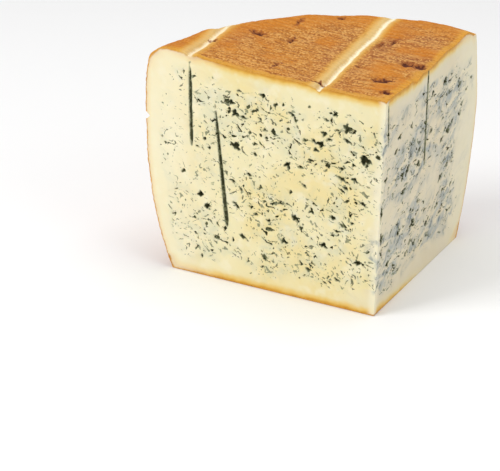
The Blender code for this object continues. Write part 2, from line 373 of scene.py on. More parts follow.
SECOND_FACE_OPENINGS = (
    (90.5, 113.5, 3.6, 2.6, -20), (115.5, 104, 3.0, 1.8, -30), (101, 80.5, 4.5, 2.6, -25),
    (38.5, 76, 4.2, 1.9, -25), (34.5, 64, 3.6, 2.0, -20), (2.5, 61.5, 1.6, 5.5, 0),
    (4.5, 45.5, 2.2, 4.0, -10), (51.5, 38.5, 4.0, 2.4, -25), (74.5, 30, 3.6, 1.8, -25),
    (93, 52.5, 4.0, 1.8, -30), (6, 80.5, 3.0, 1.4, -10), (55, 74, 3.0, 1.8, -25),
    (119.5, 84.5, 2.6, 1.4, -25), (41, 101.5, 1.5, 2.4, 0), (128.5, 97.5, 2.4, 1.1, -20),
    (122, 90.5, 2.4, 1.0, -25), (102.5, 58, 3.4, 1.4, -30), (90.5, 77, 3.4, 1.3, -25),
    (55, 82.5, 3.2, 1.2, -25), (23.5, 100.5, 3.4, 1.3, -20), (19, 93, 3.0, 1.2, -25),
    (72.5, 88.5, 3.0, 1.5, -25), (107, 84, 2.6, 1.2, -25), (30, 40, 3.2, 1.6, -20),
    (44, 22, 3.0, 1.4, -25), (90, 36, 3.0, 1.2, -25), (16, 26, 2.6, 1.8, -15),
    (112, 42, 2.8, 1.2, -30),
)


def laid_openings(face: Face, rows: tuple[tuple[float, ...], ...]) -> list[Opening]:
    """Makes openings from rows in millimetres and degrees.

    Args:
        face: The cut face that they are in.
        rows: Distance from the corner, height, half width, half height and lean of each.

    Returns:
        The openings, in metres.
    """
    return [Opening(face, a * MM, h * MM, w * MM, t * MM, lean) for a, h, w, t, lean in rows]


@dataclass(frozen=True)
class ClearPatch:
    """A stretch of a cut face where hardly any mould grew."""

    face: Face
    centre: tuple[float, float]
    half: tuple[float, float]

    def clearness(self, along: Array, height: Array) -> Array:
        """1 in the patch's middle, 0 outside."""
        wide = (along - self.centre[0]) / self.half[0]
        tall = (height - self.centre[1]) / self.half[1]
        return 1 - smooth_step(np.hypot(wide, tall), 0.55, 1.15)


CLEAR_PATCHES = (
    ClearPatch(Face.LONG, (0.060, 0.068), (0.019, 0.008)),
    ClearPatch(Face.LONG, (0.038, 0.070), (0.012, 0.010)),
    ClearPatch(Face.LONG, (0.045, 0.121), (0.013, 0.011)),
    ClearPatch(Face.LONG, (0.007, 0.047), (0.009, 0.015)),
    ClearPatch(Face.LONG, (0.141, 0.110), (0.012, 0.022)),
    ClearPatch(Face.LONG, (0.143, 0.050), (0.014, 0.030)),
    ClearPatch(Face.LONG, (0.012, 0.118), (0.014, 0.012)),
    ClearPatch(Face.SECOND, (0.080, 0.056), (0.017, 0.020)),
    ClearPatch(Face.SECOND, (0.134, 0.065), (0.016, 0.050)),
    ClearPatch(Face.SECOND, (0.123, 0.072), (0.012, 0.016)),
    ClearPatch(Face.SECOND, (0.022, 0.117), (0.018, 0.010)),
)


@dataclass(frozen=True)
class RindPit:
    """A dark hollow in the top's rind, placed from the corner."""

    x: float
    y: float
    half_length: float
    half_width: float

    def inside(self, x: Array, y: Array) -> Array:
        """How far inside the pit each place of the top lies, in metres."""
        wide = (x - self.x + 0.5 * MM * np.sin(y / (0.9 * MM))) / self.half_length
        tall = (y - self.y + 0.4 * MM * np.sin(x / (0.8 * MM))) / self.half_width
        return (1 - np.hypot(wide, tall)) * min(self.half_length, self.half_width)


# X and Y from the corner, half length and half width, in millimetres.
RIND_PITS = tuple(RindPit(*(value * MM for value in row)) for row in (
    (-16.8, 30.5, 6.2, 5.2), (-12.5, 33.0, 3.0, 3.6), (-13.8, 61.0, 4.6, 5.4),
    (-6.8, 62.0, 4.2, 5.0), (-5.8, 12.5, 4.4, 3.4), (-45.5, 9.5, 6.0, 3.4), (-40.0, 82.0, 1.9, 8.0),
    (-35.0, 90.0, 1.9, 8.0), (-35.5, 43.0, 2.4, 2.6), (-75.0, 17.0, 1.6, 6.5),
    (-95.0, 88.0, 1.8, 6.5), (-108.0, 58.0, 5.5, 3.6), (-86.0, 59.0, 2.2, 6.0),
    (-77.0, 108.0, 3.2, 3.6), (-122.0, 30.0, 3.0, 2.4),
))


@dataclass(frozen=True)
class CutMarks:
    """Everything that the cuts laid open and that has a place of its own."""

    openings: tuple[Opening, ...] = field(default_factory=lambda: tuple(
        laid_openings(Face.LONG, LONG_FACE_OPENINGS)
        + laid_openings(Face.SECOND, SECOND_FACE_OPENINGS)
    ))
    channels: tuple[Channel, ...] = (
        Channel(Face.LONG, (0.1212, 0.1290), (0.1189, 0.0794), 1.0 * MM, 0.9 * MM),
        Channel(Face.LONG, (0.1044, 0.1065), (0.0945, 0.0345), 0.7 * MM, 1.3 * MM),
        Channel(Face.SECOND, (0.0617, 0.1340), (0.0646, 0.0698), 0.9 * MM, 1.1 * MM),
        Channel(Face.SECOND, (0.0035, 0.1275), (0.0068, 0.1000), 0.7 * MM, 0.7 * MM),
    )
    far_outside: float = -20.0 * MM

    def depth_field(self, marks: tuple, face: Face, along: Array, height: Array) -> Array:
        """The largest of the marks' inside distances at each point of a face.

        Args:
            marks: Openings or channels.
            face: The cut face in question.
            along: Distances from the corner.
            height: Heights above the base.

        Returns:
            Metres, positive inside a mark.
        """
        best = np.full(along.shape, self.far_outside)
        for mark in marks:
            if mark.face is face:
                best = np.maximum(best, mark.inside(along, height))
        return best


# ---------------------------------------------------------------------------------------------
# Node trees
# ---------------------------------------------------------------------------------------------


class Wiring:
    """Adds nodes to one tree and joins them. Works for shader and for geometry trees."""

    def __init__(self, tree: bpy.types.NodeTree) -> None:
        """Starts on a tree.

        Args:
            tree: The node tree to fill.
        """
        self.tree = tree
        self.column = 0

    def add(self, kind: str, inputs: dict | None = None, **settings: object) -> bpy.types.Node:
        """Adds one node.

        Args:
            kind: The node's type name.
            inputs: Socket names or numbers, each with a value or the socket to join to it.
            settings: Properties to set on the node first.

        Returns:
            The new node.
        """
        node = self.tree.nodes.new(kind)
        self.column += 1
        node.location = (180 * (self.column % 40), -220 * (self.column // 40))
        for name, value in settings.items():
            setattr(node, name, value)
        for name, value in (inputs or {}).items():
            self.put(node.inputs[name], value)
        return node

    def put(self, socket: bpy.types.NodeSocket, value: object) -> None:
        """Joins a socket to another, or sets its own value."""
        if isinstance(value, bpy.types.NodeSocket):
            self.tree.links.new(value, socket)
        elif value is not None:
            socket.default_value = value

    def math(self, operation: str, *values: object, clamp: bool = False) -> bpy.types.NodeSocket:
        """Puts values through one Math node and returns its result."""
        node = self.add("ShaderNodeMath", operation=operation, use_clamp=clamp)
        for socket, value in zip(node.inputs, values):
            self.put(socket, value)
        return node.outputs[0]

    def vector(self, operation: str, *values: object) -> bpy.types.NodeSocket:
        """Puts values through one Vector Math node and returns its result."""
        node = self.add("ShaderNodeVectorMath", operation=operation)
        for socket, value in zip(node.inputs, values):
            self.put(socket, value)
        return node.outputs["Value" if operation in ("DOT_PRODUCT", "LENGTH") else "Vector"]

    def scaled(self, place: object, factor: object) -> bpy.types.NodeSocket:
        """Scales a vector."""
        node = self.add("ShaderNodeVectorMath", operation="SCALE")
        self.put(node.inputs[0], place)
        self.put(node.inputs["Scale"], factor)
        return node.outputs["Vector"]

    def noise(
        self, place: object, size: float, detail: float = 2.0, output: int = 0
    ) -> bpy.types.NodeSocket:
        """Reads a Noise texture.

        Args:
            place: Where to read it, in millimetres.
            size: Size of its blobs, in millimetres.
            detail: How many finer layers it has.
            output: 0 for its value, 1 for its colour.

        Returns:
            The output socket.
        """
        node = self.add("ShaderNodeTexNoise", {"Vector": place, "Scale": 1 / size, "Detail": detail})
        return node.outputs[output]

    def cell_edge(self, place: object, size: float) -> bpy.types.NodeSocket:
        """Distance in millimetres to the nearest wall between Voronoi cells of this size."""
        node = self.add(
            "ShaderNodeTexVoronoi", {"Vector": place, "Scale": 1 / size}, feature="DISTANCE_TO_EDGE"
        )
        return self.math("MULTIPLY", node.outputs["Distance"], size)

    def ramp(self, value: object, low: object, high: object, to_low: object = 0.0, to_high: object = 1.0,
             smooth: bool = True) -> bpy.types.NodeSocket:
        """Maps a range to another one, clamped at both ends.

        Args:
            value: What to map.
            low: The value that becomes to_low.
            high: The value that becomes to_high.
            to_low: The first result.
            to_high: The last result.
            smooth: Whether it eases in and out.

        Returns:
            The mapped value.
        """
        node = self.add("ShaderNodeMapRange", interpolation_type="SMOOTHSTEP" if smooth else "LINEAR")
        for name, each in zip(("Value", "From Min", "From Max", "To Min", "To Max"),
                              (value, low, high, to_low, to_high)):
            self.put(node.inputs[name], each)
        return node.outputs["Result"]

    def blend(
        self, factor: object, first: object, second: object, kind: str = "MIX"
    ) -> bpy.types.NodeSocket:
        """Mixes two colours.

        Args:
            factor: 0 for the first colour, 1 for the second.
            first: A colour or a socket.
            second: A colour or a socket.
            kind: The blend type.

        Returns:
            The mixed colour.
        """
        node = self.add("ShaderNodeMix", data_type="RGBA", blend_type=kind, clamp_factor=True)
        colours = [socket for socket in node.inputs if socket.type == "RGBA"]
        self.put(node.inputs[0], factor)
        self.put(colours[0], first)
        self.put(colours[1], second)
        return next(socket for socket in node.outputs if socket.type == "RGBA")


def new_group(name: str, kind: str, inputs: dict[str, str], outputs: dict[str, str]) -> tuple:
    """Makes an empty node group with named sockets.

    Args:
        name: The group's name.
        kind: ShaderNodeTree or GeometryNodeTree.
        inputs: Socket names with their kinds, such as Float or Vector.
        outputs: The same for what it puts out.

    Returns:
        The tree, its Wiring, its Group Input node and its Group Output node.
    """
    tree = bpy.data.node_groups.new(name, kind)
    for direction, sockets in (("INPUT", inputs), ("OUTPUT", outputs)):
        for label, what in sockets.items():
            tree.interface.new_socket(label, in_out=direction, socket_type=f"NodeSocket{what}")
    wiring = Wiring(tree)
    return tree, wiring, wiring.add("NodeGroupInput"), wiring.add("NodeGroupOutput")


@dataclass(frozen=True)
class VeinPattern:
    """How mould grows between the curds: open walls, specks and a bluish haze. Millimetres."""

    curd: float = 7.5
    small_curd: float = 3.8
    stretch: float = 0.62
    warp: float = 6.0
    warp_size: float = 9.0
    layer_normal: tuple[float, float, float] = (0.43, -0.30, 0.85)
    layer_squeeze: float = 0.75
    widest: float = 1.5
    widest_speck: float = 0.75
    region_size: float = 24.0
    clear_margin: float = 7.0
    full_margin: float = 17.0
    ragged_margin: float = 26.0

    def between(self, w: Wiring, place: object, size: float, spots: object, widest: float) -> object:
        """Opens the walls between cells where spots says so.

        Args:
            w: The group's wiring.
            place: Where, in millimetres.
            size: Size of the cells, in millimetres.
            spots: How open the walls are there, from 0 to 1.
            widest: Half the width of the widest gap, in millimetres.

        Returns:
            Distance inside the gap in millimetres, and the distance from the wall.
        """
        wall = w.cell_edge(place, size)
        closed = w.ramp(spots, 0.0, 0.5, 0.9 * widest, 0.0)
        gap = w.math("SUBTRACT", w.math("MULTIPLY", spots, widest), wall)
        return w.math("SUBTRACT", gap, closed), wall

    def group(self, kind: str) -> bpy.types.NodeTree:
        """Builds the pattern as a node group, the same for geometry and for shading.

        Args:
            kind: ShaderNodeTree or GeometryNodeTree.

        Returns:
            A group with inputs Place and Rind Depth, in metres, and Mould, from 0 to 1. It puts
            out Opening and Speck, in millimetres inside their outlines, and Haze, from 0 to 1.
        """
        tree, w, source, result = new_group(
            f"curd_veins_{kind}", kind, {"Place": "Vector", "Rind Depth": "Float", "Mould": "Float"},
            {"Opening": "Float", "Speck": "Float", "Haze": "Float"},
        )
        place = w.vector("MULTIPLY", source.outputs["Place"], (1 / MM, self.stretch / MM, 1 / MM))
        depth = w.math("MULTIPLY", source.outputs["Rind Depth"], 1 / MM)
        mould = source.outputs["Mould"]
        push = w.vector("SUBTRACT", w.noise(place, self.warp_size, 2.0, output=1), (0.5, 0.5, 0.5))
        warped = w.vector("ADD", place, w.scaled(push, self.warp * 2))
        through = w.math("MULTIPLY", w.vector("DOT_PRODUCT", warped, self.layer_normal), self.layer_squeeze)
        pressed = w.vector("ADD", warped, w.scaled(self.layer_normal, through))

        region = w.noise(w.vector("ADD", place, (31.0, 7.0, 12.0)), self.region_size, 1.5)
        uneven = w.math("MULTIPLY", w.math("SUBTRACT", w.noise(place, 13.0, 2.0), 0.5), self.ragged_margin)
        margin = w.ramp(w.math("ADD", depth, uneven), self.clear_margin, self.full_margin)
        margin = w.math("MULTIPLY", margin, mould)
        mouldy = w.math("MULTIPLY", w.ramp(region, 0.34, 0.56, 0.15, 1.0), margin)
        spots = w.ramp(w.noise(pressed, 4.2, 1.5), 0.59, 0.71)
        opening, wall = self.between(w, pressed, self.curd, w.math("MULTIPLY", spots, mouldy), self.widest)

        small_place = w.vector("ADD", pressed, (5.3, 2.1, 8.8))
        small_spots = w.ramp(w.noise(small_place, 2.9, 2.0), 0.53, 0.68)
        speck_region = w.math("MULTIPLY", w.ramp(region, 0.32, 0.54, 0.4, 1.0), margin)
        small_spots = w.math("MULTIPLY", small_spots, speck_region)
        speck, _ = self.between(w, small_place, self.small_curd, small_spots, self.widest_speck)

        cloud = w.ramp(w.noise(pressed, 9.0, 3.0), 0.34, 0.68)
        near_wall = w.ramp(wall, 0.0, 4.0, 1.0, 0.45)
        haze = w.math("MULTIPLY", w.math("MULTIPLY", near_wall, cloud), mouldy, clamp=True)
        for name, value in (("Opening", opening), ("Speck", speck), ("Haze", haze)):
            w.put(result.inputs[name], value)
        return tree


@dataclass(frozen=True)
class RindRelief:
    """Fine ridges and lumps of the rind. Millimetres."""

    ridge: float = 0.40
    lump: float = 0.6

    def group(self, kind: str) -> bpy.types.NodeTree:
        """Builds the relief as a node group, the same for geometry and for shading.

        Args:
            kind: ShaderNodeTree or GeometryNodeTree.

        Returns:
            A group with inputs Place and Side Place, in metres, and Side, from 0 on the top to 1
            on the side. It puts out Height, in millimetres outward, and Ridge, from 0 in the
            folds to 1 on the crests.
        """
        tree, w, source, result = new_group(
            f"rind_relief_{kind}", kind, {"Place": "Vector", "Side Place": "Vector", "Side": "Float"},
            {"Height": "Float", "Ridge": "Float"},
        )
        place = w.scaled(source.outputs["Place"], 1 / MM)
        push = w.vector("SUBTRACT", w.noise(place, 26.0, 1.0, output=1), (0.5, 0.5, 0.5))
        warped = w.vector("ADD", place, w.scaled(push, 7.0))
        top_ridge = w.noise(w.vector("MULTIPLY", warped, (0.24, 1.0, 0.3)), 2.2, 3.0)
        around = w.vector("ADD", w.scaled(source.outputs["Side Place"], 1 / MM), w.scaled(push, 12.0))
        side_ridge = w.noise(w.vector("MULTIPLY", around, (0.3, 1.0, 0.0)), 2.6, 3.0)
        step = w.math("SUBTRACT", side_ridge, top_ridge)
        ridge = w.math("ADD", top_ridge, w.math("MULTIPLY", step, source.outputs["Side"]))
        ridge = w.ramp(ridge, 0.34, 0.66)
        lump = w.noise(place, 16.0, 2.0)
        height = w.math("MULTIPLY", ridge, self.ridge)
        height = w.math("ADD", height, w.math("MULTIPLY", w.math("SUBTRACT", lump, 0.5), 2 * self.lump))
        for name, value in (("Height", height), ("Ridge", ridge)):
            w.put(result.inputs[name], value)
        return tree


@dataclass(frozen=True)
class CarveTree:
    """Geometry Nodes that cut the openings into the paste and raise the rind."""

    veins: VeinPattern
    relief: RindRelief
    sizes: dict[str, float] = field(default_factory=lambda: {
        "Opening Depth": 1.3 * MM,
        "Hollow Depth": 2.6 * MM,
        "Channel Depth": 1.3 * MM,
        "Relief": 1.0 * MM,
        "Pit Depth": 1.6 * MM,
    })

    def named(self, w: Wiring, name: str, kind: str = "FLOAT") -> bpy.types.NodeSocket:
        """Reads one of the mesh's stored attributes."""
        node = w.add("GeometryNodeInputNamedAttribute", {"Name": name}, data_type=kind)
        return node.outputs["Attribute"]

    def build(self, material: bpy.types.Material) -> bpy.types.NodeTree:
        """Builds the tree.

        Args:
            material: What the result is made of.

        Returns:
            The tree, whose sizes are named inputs.
        """
        kind = "GeometryNodeTree"
        inputs = {"Geometry": "Geometry"} | {name: "Float" for name in self.sizes}
        tree, w, source, result = new_group("carve_wedge", kind, inputs, {"Geometry": "Geometry"})
        place = w.add("GeometryNodeInputPosition").outputs[0]
        keep = w.add(
            "GeometryNodeStoreNamedAttribute",
            {"Geometry": source.outputs["Geometry"], "Name": "flat_place", "Value": place},
            data_type="FLOAT_VECTOR", domain="POINT",
        )
        flat = self.named(w, "flat_place", "FLOAT_VECTOR")
        veins = w.add("GeometryNodeGroup", node_tree=self.veins.group(kind))
        w.put(veins.inputs["Place"], flat)
        w.put(veins.inputs["Rind Depth"], self.named(w, "rind_depth"))
        w.put(veins.inputs["Mould"], self.named(w, "mould"))
        relief = w.add("GeometryNodeGroup", node_tree=self.relief.group(kind))
        w.put(relief.inputs["Place"], flat)
        w.put(relief.inputs["Side Place"], self.named(w, "side_place", "FLOAT_VECTOR"))
        w.put(relief.inputs["Side"], self.named(w, "side"))

        parts = (
            (w.ramp(veins.outputs["Opening"], 0.0, 0.8), "Opening Depth"),
            (w.ramp(veins.outputs["Speck"], 0.0, 0.5, 0.0, 0.4), "Opening Depth"),
            (w.ramp(self.named(w, "hollow"), 0.0, 0.9 * MM), "Hollow Depth"),
            (w.ramp(self.named(w, "channel"), 0.0, 0.8 * MM), "Channel Depth"),
        )
        depths = [w.math("MULTIPLY", share, source.outputs[name]) for share, name in parts]
        deepest = depths[0]
        for depth in depths[1:]:
            deepest = w.math("MAXIMUM", deepest, depth)
        inward = w.scaled(self.named(w, "cut_way", "FLOAT_VECTOR"), deepest)
        raised = w.math("MULTIPLY", relief.outputs["Height"], source.outputs["Relief"])
        pitted = w.ramp(self.named(w, "pit"), 0.0, 2.2 * MM)
        raised = w.math("SUBTRACT", raised, w.math("MULTIPLY", pitted, source.outputs["Pit Depth"]))
        outward = w.scaled(self.named(w, "rind_way", "FLOAT_VECTOR"), raised)
        moved = w.add("GeometryNodeSetPosition", {
            "Geometry": keep.outputs[0], "Offset": w.vector("ADD", inward, outward),
        })
        real = w.add("GeometryNodeRealizeInstances", {"Geometry": moved.outputs[0]})
        made = w.add("GeometryNodeSetMaterial", {"Geometry": real.outputs[0], "Material": material})
        w.put(result.inputs["Geometry"], made.outputs[0])
        return tree

    def apply(self, body: bpy.types.Object, material: bpy.types.Material) -> None:
        """Runs the tree on an object and keeps the result as its plain mesh.

        Args:
            body: The object to carve.
            material: What the result is made of.
        """
        modifier = body.modifiers.new("carve", "NODES")
        modifier.node_group = self.build(material)
        for item in modifier.node_group.interface.items_tree:
            if item.in_out == "INPUT" and item.name in self.sizes:
                modifier[item.identifier] = self.sizes[item.name]
        graph = bpy.context.evaluated_depsgraph_get()
        carved = bpy.data.meshes.new_from_object(
            body.evaluated_get(graph), preserve_all_data_layers=True, depsgraph=graph
        )
        body.modifiers.remove(modifier)
        body.data = carved


# ---------------------------------------------------------------------------------------------
# The wedge
# ---------------------------------------------------------------------------------------------


@dataclass
class WedgeBody:
    """The whole wedge as one closed mesh."""

    wheel: Wheel
    furrows: RackFurrows
    marks: CutMarks
    carve: CarveTree
    dent: Dent = field(default_factory=Dent)
    nick: Nick = field(default_factory=Nick)
    cells: int = 200
    level_count: int = 180
    edge_fade: float = 1.2 * MM
    thin_side_rind: float = 1.5  # the rind's bands are this much narrower along the side
    most_triangles: int = 192_000

    def corner(self) -> Array:
        """The foot of the upright corner, where places are measured from."""
        return np.array((CAD_BOX[1][0], CAD_BOX[0][1], 0.0))

    def top_plan(self) -> tuple[Array, Array]:
        """Spreads a square grid over the quarter's top.

        Returns:
            X and Y of each grid point from the corner. The first index runs along the long
            face, the second along the other one, and the last row and column lie on the rim.
        """
        u, v = np.meshgrid(*[np.linspace(0, 1, self.cells + 1)] * 2, indexing="ij")
        across = u * np.sqrt(1 - v**2 / 2)
        away = v * np.sqrt(1 - u**2 / 2)
        reach = self.wheel.top_radius * np.hypot(across, away)
        turn = np.arctan2(away, across) * self.wheel.sector / (math.pi / 2)
        return -reach * np.cos(turn), reach * np.sin(turn)

    def top_height(self, x: Array, y: Array) -> Array:
        """Height of the top at places measured from the corner."""
        wheel = self.wheel
        height = wheel.height + wheel.rim_lift * (x**2 + y**2) / wheel.top_radius**2
        height = height - self.furrows.sink(x, y, wheel) - wheel.droop(x, y)
        dent = self.dent.place * wheel.way(Face.SECOND)
        height = height - self.dent.depth * bell(np.hypot(x - dent[0], y - dent[1]), self.dent.reach)
        wave = np.sin(61 * x + 1.0) * np.sin(83 * y) + 0.5 * np.sin(95 * x + 170 * y)
        return height + wheel.top_wave * wave

    def outline(self) -> tuple[Array, Array]:
        """Walks round the top's edge: long face, rim, second face.

        Returns:
            Indices of the grid points along the walk, first and second.
        """
        n = self.cells
        i = np.concatenate([
            np.arange(n + 1), np.full(n, n), np.arange(n - 1, -1, -1), np.zeros(n - 1, int)
        ])
        j = np.concatenate([
            np.zeros(n + 1, int), np.arange(1, n + 1), np.full(n, n), np.arange(n - 1, 0, -1)
        ])
        return i, j

    def walls(self, x: Array, y: Array, top: Array) -> Array:
        """Places the points under the top's edge.

        Args:
            x: X of each point of the top's edge.
            y: Y of each point of the top's edge.
            top: Height of each point of the top's edge.

        Returns:
            The points, level by level from the base.
        """
        wheel = self.wheel
        share = np.hypot(x, y) / wheel.top_radius
        rimmed = smooth_step(share, 0.78, 1.0)
        even = np.linspace(0, wheel.rim_height, self.level_count + 1)[:-1, None]
        turned = wheel.levels(self.level_count)[:-1, None]
        height = (1 - rimmed) * even + rimmed * turned
        spread = 1 + rimmed * (wheel.radius_at(height) / wheel.top_radius - 1)
        angle = np.arctan2(y, -x)
        inner = bell(angle - wheel.sector / 2, wheel.sector / 2)
        wave = np.sin(9 * angle + 40 * height) + 0.6 * np.sin(17 * angle - 75 * height)
        nick = bell(height - self.nick.height, self.nick.half_height) * bell(angle, self.nick.spread)
        reach = wheel.side_wave * wave * inner * (share > 0.999)
        reach = reach - (self.nick.depth * nick + wheel.slump(angle, height)) * rimmed
        grown = spread + reach / wheel.top_radius
        points = np.stack([x * grown, y * grown, top * height / wheel.rim_height], -1)
        return points

    def marked(self, points: Array, on_long: Array, on_second: Array) -> dict[str, Array]:
        """Works out what the carving and the material need to know at each point.

        Args:
            points: The points, from the corner.
            on_long: Which of them lie on the long face, edges too.
            on_second: Which of them lie on the second face, edges too.

        Returns:
            The attributes by name.
        """
        wheel = self.wheel
        x, y, z = points.T
        reach = np.hypot(x, y)
        height = np.clip(z, 0, wheel.rim_height)
        angle = np.arctan2(y, -x)
        side = np.clip(wheel.radius_at(height) - wheel.slump(angle, height) - reach, 0, None)
        under_top = np.clip(self.top_height(x, y) - z, 0, None)
        depth = np.minimum(np.minimum(self.thin_side_rind * side, under_top), z)
        cut = on_long | on_second
        hollow = np.full(len(points), self.marks.far_outside)
        channel = hollow.copy()
        mould = np.ones(len(points))
        cut_way = np.zeros_like(points)
        for face, chosen in ((Face.LONG, on_long), (Face.SECOND, on_second)):
            along, up = reach[chosen], z[chosen]
            hollow[chosen] = self.marks.depth_field(self.marks.openings, face, along, up)
            channel[chosen] = self.marks.depth_field(self.marks.channels, face, along, up)
            for patch in (each for each in CLEAR_PATCHES if each.face is face):
                mould[chosen] *= 1 - 0.93 * patch.clearness(along, up)
            fade = smooth_step(np.minimum(along, depth[chosen]), 0, self.edge_fade)
            cut_way[chosen] = -wheel.outward(face) * fade[:, None]
        pit = np.max([each.inside(x, y) for each in RIND_PITS], axis=0)
        return {
            "mould": mould,
            "second": on_second.astype(float),
            "side_place": np.stack([wheel.radius * angle, z, 0 * z], -1),
            "pit": np.where((under_top < 1 * MM) & ~cut, pit, self.marks.far_outside),
            "rind_depth": np.where(cut, depth, 0.0),
            "hollow": hollow,
            "channel": channel,
            "cut_way": cut_way,
        }

    def rind_way(self, points: Array, on_top: Array, on_side: Array) -> dict[str, Array]:
        """Works out in which directions the rind's relief stands out, 0 off the rind.

        Args:
            points: The points, from the corner.
            on_top: Which of them lie on the top.
            on_side: Which of them lie on the side.

        Returns:
            The attributes by name: one direction, and the share of the side, for each point.
        """
        wheel = self.wheel
        x, y, z = points.T
        reach = np.maximum(np.hypot(x, y), 1e-6)
        over = smooth_step(z, wheel.rim_height - wheel.shoulder_radius - 2 * MM, wheel.rim_height - 1 * MM)
        level = np.stack([x / reach, y / reach, 0 * z], -1)
        way = np.zeros_like(points)
        way[on_side] = ((1 - over)[:, None] * level + over[:, None] * (0, 0, 1))[on_side]
        way[on_top] = (0, 0, 1)
        way *= smooth_step(z, 0.0, 6 * MM)[:, None]
        return {"rind_way": way, "side": np.where(on_side, 1 - over, 0.0)}

    def mesh(self) -> bpy.types.Mesh:
        """Builds the closed mesh before it is carved, with its attributes."""
        n, levels = self.cells, self.level_count
        x, y = self.top_plan()
        top = np.stack([x, y, self.top_height(x, y)], -1)
        i, j = self.outline()
        walls = self.walls(x[i, j], y[i, j], top[i, j, 2])
        points = np.concatenate([top.reshape(-1, 3), walls.reshape(-1, 3)])
        top_id = np.arange((n + 1) ** 2).reshape(n + 1, n + 1)
        wall_id = (n + 1) ** 2 + np.arange(levels * 4 * n).reshape(levels, 4 * n)
        wall_id = np.concatenate([wall_id, top_id[i, j][None]])

        def quads(ids: Array, flip: bool) -> Array:
            """Joins a grid of points into four-sided faces."""
            made = np.stack([ids[:-1, :-1], ids[1:, :-1], ids[1:, 1:], ids[:-1, 1:]], -1).reshape(-1, 4)
            return made[:, ::-1] if flip else made

        ring = np.concatenate([wall_id, wall_id[:, :1]], axis=1)
        faces = quads(top_id, True).tolist() + quads(ring, False).tolist() + [wall_id[0].tolist()]
        mesh = bpy.data.meshes.new("cheese_body")
        mesh.from_pydata((points + self.corner()).tolist(), [], faces)

        on_long = np.zeros(len(points), bool)
        on_second = on_long.copy()
        on_side = on_long.copy()
        on_top = on_long.copy()
        on_long[wall_id[:, : n + 1]] = True
        on_second[wall_id[:, 3 * n:]] = True
        on_second[wall_id[:, 0]] = True
        on_side[wall_id[:, n: 3 * n + 1]] = True
        on_top[top_id] = True
        values = self.marked(points, on_long, on_second) | self.rind_way(points, on_top, on_side)
        for name, each in values.items():
            kind, value = ("FLOAT_VECTOR", "vector") if each.ndim == 2 else ("FLOAT", "value")
            attribute = mesh.attributes.new(name, kind, "POINT")
            attribute.data.foreach_set(value, each.astype(np.float32).ravel())
        return mesh

    def thin(self, body: bpy.types.Object) -> None:
        """Merges the smallest triangles of flat stretches, down to the most that a piece may have."""
        mesh = body.data
        count = sum(len(face.vertices) - 2 for face in mesh.polygons)
        modifier = body.modifiers.new("thin", "DECIMATE")
        modifier.ratio = min(1.0, self.most_triangles / count)
        modifier.use_collapse_triangulate = True
        graph = bpy.context.evaluated_depsgraph_get()
        thinned = bpy.data.meshes.new_from_object(
            body.evaluated_get(graph), preserve_all_data_layers=True, depsgraph=graph
        )
        body.modifiers.remove(modifier)
        body.data = thinned
        LOG.info("thinned from %d to %d triangles", count, len(thinned.polygons))

    def finish_edges(self, mesh: bpy.types.Mesh) -> None:
        """Shades the mesh smooth, with crisp edges where the knife met the rind."""
        mesh.polygons.foreach_set("use_smooth", np.ones(len(mesh.polygons), bool))
        mesh.set_sharp_from_angle(angle=math.radians(62))
        for name in ("cut_way", "rind_way"):
            mesh.attributes.remove(mesh.attributes[name])

    def build(self, material: bpy.types.Material) -> bpy.types.Object:
        """Makes the wedge.

        Args:
            material: The cheese's material.

        Returns:
            The finished object, riding on the frame in place of the plain solid.
        """
        body = bpy.data.objects.new("cheese_body", self.mesh())
        bpy.context.scene.collection.objects.link(body)
        self.carve.apply(body, material)
        self.thin(body)
        self.finish_edges(body.data)
        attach(body, "root")
        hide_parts(NODE)
        LOG.info("cheese_body: %d triangles", len(body.data.polygons))
        return body


# ---------------------------------------------------------------------------------------------
# Finishes
# ---------------------------------------------------------------------------------------------


@dataclass(frozen=True)
class PasteFinish:
    """Colours and gloss of the cut paste."""

    cream: Colour = paint(238, 227, 182)
    yellow: Colour = paint(236, 219, 160)
    pale: Colour = paint(243, 235, 204)
    # painted shade: a greyer, cooler paste tone laid over the whole second face, standing in for its shaded
    # look
    painted_shade_grey: Colour = paint(226, 215, 190)
    golden: Colour = paint(232, 190, 84)
    under_rind: Colour = paint(212, 154, 54)
    haze: Colour = paint(196, 202, 180)
    blue_haze: Colour = paint(160, 170, 172)
    streak: Colour = paint(112, 124, 126)
    speck: Colour = paint(134, 140, 110)
    dark_speck: Colour = paint(82, 88, 64)
    opening: Colour = paint(66, 68, 42)
    opening_floor: Colour = paint(124, 128, 94)
    roughness: float = 0.46
    rough_patches: float = 0.16
    streak_lean: tuple[float, float, float] = (0.0, 0.6, 0.8)  # along the second face's streaks
    streak_length: float = 0.65


@dataclass(frozen=True)
class RindFinish:
    """Colours and gloss of the rind."""

    base: Colour = paint(188, 122, 44)
    orange: Colour = paint(198, 119, 18)
    rosy: Colour = paint(170, 108, 54)
    crest: Colour = paint(214, 160, 88)
    fold: Colour = paint(132, 72, 26)
    golden: Colour = paint(222, 166, 54)
    pit_edge: Colour = paint(146, 82, 36)
    pit: Colour = paint(84, 36, 14)
    furrow: Colour = paint(250, 240, 208)
    furrow_shade: Colour = paint(216, 186, 126)
    roughness: float = 0.70


